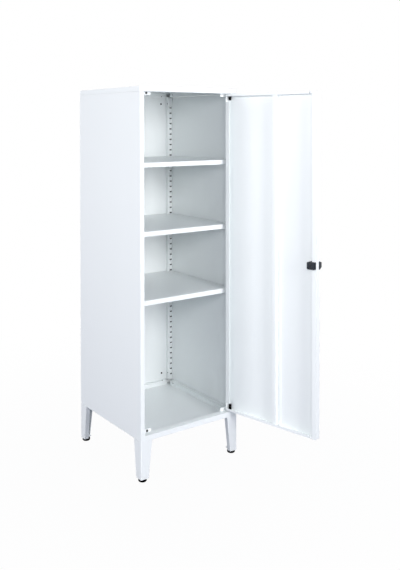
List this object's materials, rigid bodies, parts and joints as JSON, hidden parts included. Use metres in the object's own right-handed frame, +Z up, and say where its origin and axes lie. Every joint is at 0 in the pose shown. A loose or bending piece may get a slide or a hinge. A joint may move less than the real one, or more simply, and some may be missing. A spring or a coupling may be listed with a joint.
{
  "type": "broom cupboard",
  "caption": "Tall narrow sheet-steel broom cupboard on folded legs with levelling feet, an inset door on pivot pins, slotted uprights and lift-out shelves.",
  "frame": {"origin": "on the floor, midway between the four feet and under the centre of the carcass", "axes": "+Z up, -Y towards the front where the door is, +X towards the hinge side, on the right seen from the front"},
  "size_m": [0.4621, 0.7435, 1.253],
  "materials": {
    "white_steel": "semi-gloss powder coat",
    "zinc_steel": "bright zinc plate",
    "grey_plastic": "satin",
    "black_plastic": "matte",
    "black_rubber": "matte"
  },
  "bodies": {
    "carcass": {"top_panel": "white_steel", "bottom_panel": "white_steel", "left_side_panel": "white_steel", "right_side_panel": "white_steel", "back_panel": "white_steel", "rear_left_upright": "white_steel", "front_left_upright": "white_steel", "rear_right_upright": "white_steel", "front_right_upright": "white_steel", "lower_shelf": "white_steel", "middle_shelf": "white_steel", "upper_shelf": "white_steel", "front_left_leg": "white_steel", "rear_left_leg": "white_steel", "front_right_leg": "white_steel", "rear_right_leg": "white_steel", "lower_shelf_clips": "zinc_steel", "middle_shelf_clips": "zinc_steel", "upper_shelf_clips": "zinc_steel", "stud_nuts": "zinc_steel", "door_bumpers": "black_rubber"},
    "door": {"door_panel": "white_steel", "door_stiffener": "white_steel", "lower_pivot_bush": "black_plastic", "upper_pivot_bush": "black_plastic", "lower_pivot_pin": "zinc_steel", "upper_pivot_pin": "zinc_steel", "pivot_washer": "black_plastic", "latch_block": "grey_plastic", "handle_pull": "grey_plastic", "handle_screws": "zinc_steel"},
    "front_left_foot": {"front_left_foot": "black_plastic"},
    "rear_left_foot": {"rear_left_foot": "black_plastic"},
    "front_right_foot": {"front_right_foot": "black_plastic"},
    "rear_right_foot": {"rear_right_foot": "black_plastic"}
  },
  "joints": [
    {"name": "door_hinge", "type": "hinge", "parent": "carcass", "child": "door", "pos_m": [0.1715, -0.195, 0], "axis": [0, 0, 1], "range_deg": [-102, 3]},
    {"name": "front_left_foot_level", "type": "slide", "parent": "carcass", "child": "front_left_foot", "axis": [0, 0, -1], "range_m": [0, 0.01]},
    {"name": "rear_left_foot_level", "type": "slide", "parent": "carcass", "child": "rear_left_foot", "axis": [0, 0, -1], "range_m": [0, 0.01]},
    {"name": "front_right_foot_level", "type": "slide", "parent": "carcass", "child": "front_right_foot", "axis": [0, 0, -1], "range_m": [0, 0.01]},
    {"name": "rear_right_foot_level", "type": "slide", "parent": "carcass", "child": "rear_right_foot", "axis": [0, 0, -1], "range_m": [0, 0.01]}
  ]
}
